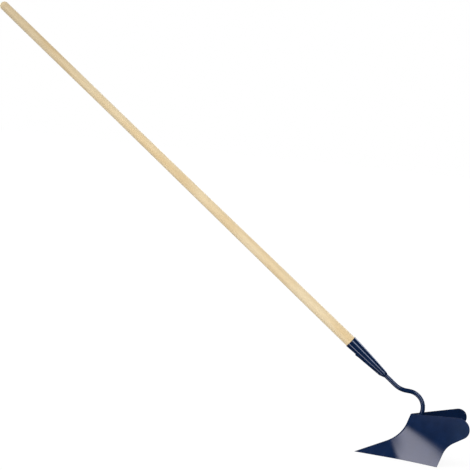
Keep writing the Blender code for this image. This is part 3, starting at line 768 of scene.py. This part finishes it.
def makeStage():
    bpy.ops.object.select_all(action="DESELECT")
    bpy.ops.mesh.primitive_plane_add(size=stage["size"], location=(0, 0, 0))
    floor = bpy.context.object
    floor.name = "floor"
    material, tree = newMaterial("paleStudioFloor")
    rays = addNode(tree, "ShaderNodeLightPath")
    matt = addNode(tree, "ShaderNodeBsdfDiffuse", {"Color": toLinear(stage["matt"])})
    white = addNode(tree, "ShaderNodeEmission", {"Color": (1, 1, 1, 1), "Strength": stage["glow"]})
    shown = addNode(tree, "ShaderNodeMixShader", {0: stage["shadowShare"]}, {1: (white, 0), 2: (matt, 0)})
    seen = addNode(tree, "ShaderNodeMixShader", None,
                   {0: (rays, "Is Camera Ray"), 1: (matt, 0), 2: (shown, 0)})
    addNode(tree, "ShaderNodeOutputMaterial", None, {"Surface": (seen, 0)})
    floor.data.materials.append(material)
    floor.visible_glossy = False
    floor.visible_shadow = False    # the low strip stands below the floor and shines up through it
    print("floor laid")


# the room: white behind the tool, even grey light on its matt colours, and for its gloss a dark room that is
# a little lighter towards the softbox and behind the tool. Its light starts and is full at the two ends of a
# span, the cosines of the angle away from that side
room = {"ambient": 0.62, "glossDark": 0.01, "glossLit": 0.03, "litSide": (-0.7, -0.45, 0.55),
        "litSpan": (0.45, 0.85), "behind": 0.25, "behindSpan": (0.5, 0.9)}


def makeWorld():
    world = bpy.data.worlds.new("studio")
    bpy.context.scene.world = world
    world.use_nodes = True
    tree = world.node_tree
    tree.nodes.clear()
    rays = addNode(tree, "ShaderNodeLightPath")
    place = addNode(tree, "ShaderNodeTexCoord")
    levels = []
    for side, span, low, high in ((room["litSide"], room["litSpan"], room["glossDark"], room["glossLit"]),
                                  ((0, 1, 0), room["behindSpan"], 0, room["behind"])):
        towards = addNode(tree, "ShaderNodeVectorMath", {1: side}, {0: (place, "Generated")},
                          operation="DOT_PRODUCT")
        levels.append(addNode(tree, "ShaderNodeMapRange",
                              {"From Min": span[0], "From Max": span[1], "To Min": low, "To Max": high},
                              {"Value": (towards, "Value")}))
    gloss = addNode(tree, "ShaderNodeMath", None, {0: (levels[0], 0), 1: (levels[1], 0)}, operation="ADD")
    matt = addNode(tree, "ShaderNodeBackground", {"Color": (1, 1, 1, 1), "Strength": room["ambient"]})
    dim = addNode(tree, "ShaderNodeBackground", {"Color": (1, 1, 1, 1)}, {"Strength": (gloss, 0)})
    white = addNode(tree, "ShaderNodeBackground", {"Color": (1, 1, 1, 1), "Strength": 1.0})
    glossy = addNode(tree, "ShaderNodeMixShader", None,
                     {0: (rays, "Is Glossy Ray"), 1: (matt, 0), 2: (dim, 0)})
    clear = addNode(tree, "ShaderNodeMath", None,
                    {0: (rays, "Is Camera Ray"), 1: (rays, "Is Transmission Ray")}, operation="MAXIMUM")
    seen = addNode(tree, "ShaderNodeMixShader", None, {0: (clear, 0), 1: (glossy, 0), 2: (white, 0)})
    addNode(tree, "ShaderNodeOutputWorld", None, {"Surface": (seen, 0)})
    print("world set")


# lamps that show in gloss alone and face the middle of the tool's head, each then shifted to its own right
# and up. power is in watts for each square metre of lamp, soft the share of its width or height over which
# it fades in from its left, right, lower and upper rim, and slope the share of its light that is missing at
# its left end, or at its right end where slope is negative
headMiddle = (0.125, -0.03, 0.1)
lamps = {
    "leftSoftbox": {"azimuth": -42.2, "elevation": 35.8, "distance": 3.66, "roll": 48.5,
                    "shift": (-1.082, -0.285), "size": (2.556, 0.70), "soft": (0.281, 0.122, 0.28, 0.2),
                    "power": 20.4, "slope": 0.35, "colour": (0.99, 0.965, 1.07)},
    "rightStrip": {"azimuth": 33, "elevation": 15, "distance": 2.5, "shift": (0, 0.52), "size": (0.75, 2.56),
                   "soft": (0.3, 0.3, 0.125, 0.14), "power": 20.8, "colour": (0.9, 1.0, 1.25)},
    "lowStrip": {"azimuth": -33, "elevation": -25, "distance": 2.5, "roll": 11, "size": (0.75, 2.6),
                 "soft": (0.3, 0.3, 0.1, 0.05), "power": 15.2, "colour": (1.0, 1.0, 1.2)},
    "lobeCard": {"azimuth": -24.6, "elevation": 2.8, "distance": 0.284, "shift": (-0.0065, 0),
                 "size": (0.125, 0.14), "soft": (0.5, 0.1, 0.2, 0.2), "power": 0.8,
                 "colour": (0.7, 1.05, 1.4)},
    "farSoftbox": {"azimuth": 222.2, "elevation": 35.8, "distance": 3.66, "roll": -48.5,
                   "shift": (1.082, -0.285), "size": (2.556, 0.70), "soft": (0.122, 0.281, 0.28, 0.2),
                   "power": 20.4, "slope": -0.35, "colour": (0.99, 0.965, 1.07)},
    "rearStrip": {"azimuth": 147, "elevation": 15, "distance": 2.5, "size": (0.75, 3.6),
                  "soft": (0.3, 0.3, 0.05, 0.1), "power": 20.0, "colour": (0.9, 1.0, 1.25)}}
# daylight from the windows, which lights the matt colours alone
daylight = {"front": {"azimuth": -35, "elevation": 40, "strength": 1.85, "spread": 40},
            "rear": {"azimuth": 180, "elevation": 35, "strength": 1.2, "spread": 40}}


def fadeLamp(light, soft, slope):    # makes a lamp dimmer towards its rims, and along its width by slope
    light.use_nodes = True
    tree = light.node_tree
    tree.nodes.clear()
    place = addNode(tree, "ShaderNodeNewGeometry")
    split = addNode(tree, "ShaderNodeSeparateXYZ", None, {0: (place, "Parametric")})
    level = addNode(tree, "ShaderNodeMapRange", {"To Min": 1 - max(slope, 0), "To Max": 1 + min(slope, 0)},
                    {"Value": (split, 0)})
    left, right, lower, upper = soft
    for axis, rim, full in ((0, 0, left), (0, 1, 1 - right), (1, 0, lower), (1, 1, 1 - upper)):
        rise = addNode(tree, "ShaderNodeMapRange", {"From Min": rim, "From Max": full},
                       {"Value": (split, axis)}, interpolation_type="SMOOTHSTEP")
        level = addNode(tree, "ShaderNodeMath", None, {0: (level, 0), 1: (rise, 0)}, operation="MULTIPLY")
    glow = addNode(tree, "ShaderNodeEmission", None, {"Strength": (level, 0)})
    addNode(tree, "ShaderNodeOutputLight", None, {"Surface": (glow, 0)})


def hangLight(name, light, place):
    item = bpy.data.objects.new(name, light)
    bpy.context.scene.collection.objects.link(item)
    item.matrix_world = place
    return item


def makeLamps():
    for name, lamp in lamps.items():
        light = bpy.data.lights.new(name, "AREA")
        light.shape = "RECTANGLE"
        width, height = lamp["size"]
        light.size, light.size_y = width, height
        light.energy = lamp["power"] * width * height
        light.color = lamp["colour"]
        fadeLamp(light, lamp["soft"], lamp.get("slope", 0))
        offset = (*lamp.get("shift", (0, 0)), lamp["distance"])
        place = standAt(headMiddle, lamp["azimuth"], lamp["elevation"], lamp.get("roll", 0), offset)
        item = hangLight(name, light, place)
        item.visible_camera = False
        item.visible_diffuse = False
    for name, window in daylight.items():
        light = bpy.data.lights.new(name + "Daylight", "SUN")
        light.energy = window["strength"]
        light.angle = math.radians(window["spread"])
        item = hangLight(light.name, light, standAt((0, 0, 0), window["azimuth"], window["elevation"]))
        item.visible_glossy = False
    print("hung", len(lamps), "lamps and", len(daylight), "windows")


makeCamera()
paint = finishPaint()
ash = finishAsh()
zinc = finishZinc()
makeBlade()
makeNeck()
makeSocket()
makeSocketWeld()
makeFootWeld("foot_weld_bead_near", -1, "foot_weld_near")
makeFootWeld("foot_weld_bead_far", 1, "foot_weld_far")
makeHandle()
makeScrew()
makeStage()
makeWorld()
makeLamps()
bpy.context.scene.view_settings.view_transform = "Standard"
